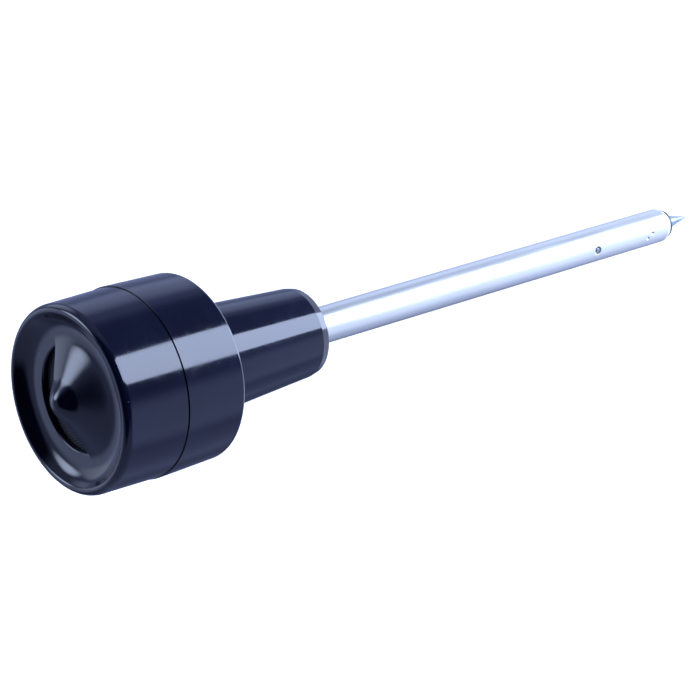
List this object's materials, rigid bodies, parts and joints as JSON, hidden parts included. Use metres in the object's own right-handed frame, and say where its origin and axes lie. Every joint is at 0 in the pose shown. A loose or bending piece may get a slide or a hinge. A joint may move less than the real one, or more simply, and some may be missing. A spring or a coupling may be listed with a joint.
{
  "type": "soil moisture sensor",
  "caption": "Soil moisture sensor: a two-part black plastic head with a hooded sound port, a tapered neck and a pointed coaxial steel probe.",
  "frame": {"origin": "centre of the neck's end face, where the probe tube leaves the neck", "axes": "+Z along the probe's axis, from the point towards the head; the sound port opens towards +Y and its hood lies towards -Y"},
  "size_m": [0.03, 0.03, 0.141],
  "materials": {
    "head_plastic": "gloss",
    "gauze": "satin",
    "nylon_grey": "matte",
    "seal_rubber": "matte",
    "board_laminate": "satin",
    "plated_steel": "gloss",
    "black_plastic": "matte",
    "buzzer_laminate": "matte",
    "copper_wire": "gloss",
    "ceramic_chip": "matte",
    "white_plastic": "matte",
    "cell_mass": "matte",
    "gilt_brass": "satin",
    "red_fibre": "matte",
    "tube_steel": "gloss",
    "tip_plastic": "satin",
    "rod_steel": "satin",
    "red_insulation": "satin",
    "black_insulation": "satin"
  },
  "bodies": {
    "housing": {"rear_housing": "head_plastic", "cap_seal": "seal_rubber", "gland_seal": "seal_rubber", "circuit_board": "board_laminate", "board_screws": "plated_steel", "cell_can": "plated_steel", "cell_lid": "plated_steel", "buzzer_pins": "plated_steel", "chip_leads": "plated_steel", "buzzer_diaphragm": "plated_steel", "buzzer_case": "black_plastic", "controller_chip": "black_plastic", "chip_resistors": "black_plastic", "buzzer_base": "buzzer_laminate", "buzzer_coil": "copper_wire", "chip_capacitors": "ceramic_chip", "cell_gasket": "white_plastic", "insulator_sleeve": "white_plastic", "cell_core": "cell_mass", "cell_clip": "gilt_brass", "negative_contact": "gilt_brass", "solder_tag": "gilt_brass", "core_lug": "gilt_brass", "lock_ring": "gilt_brass", "tube_washer": "red_fibre", "probe_tube": "tube_steel", "tube_pin": "tube_steel", "tube_collar": "tube_steel", "tip_insulator": "tip_plastic", "core_rod": "rod_steel", "tube_wire": "red_insulation", "core_wire": "black_insulation"},
    "cap": {"front_cap": "head_plastic", "port_gauze": "gauze", "gauze_ring": "nylon_grey"}
  },
  "joints": [
    {"name": "cap_pull", "type": "slide", "parent": "housing", "child": "cap", "axis": [0, 0, 1], "range_m": [0, 0.024]}
  ]
}
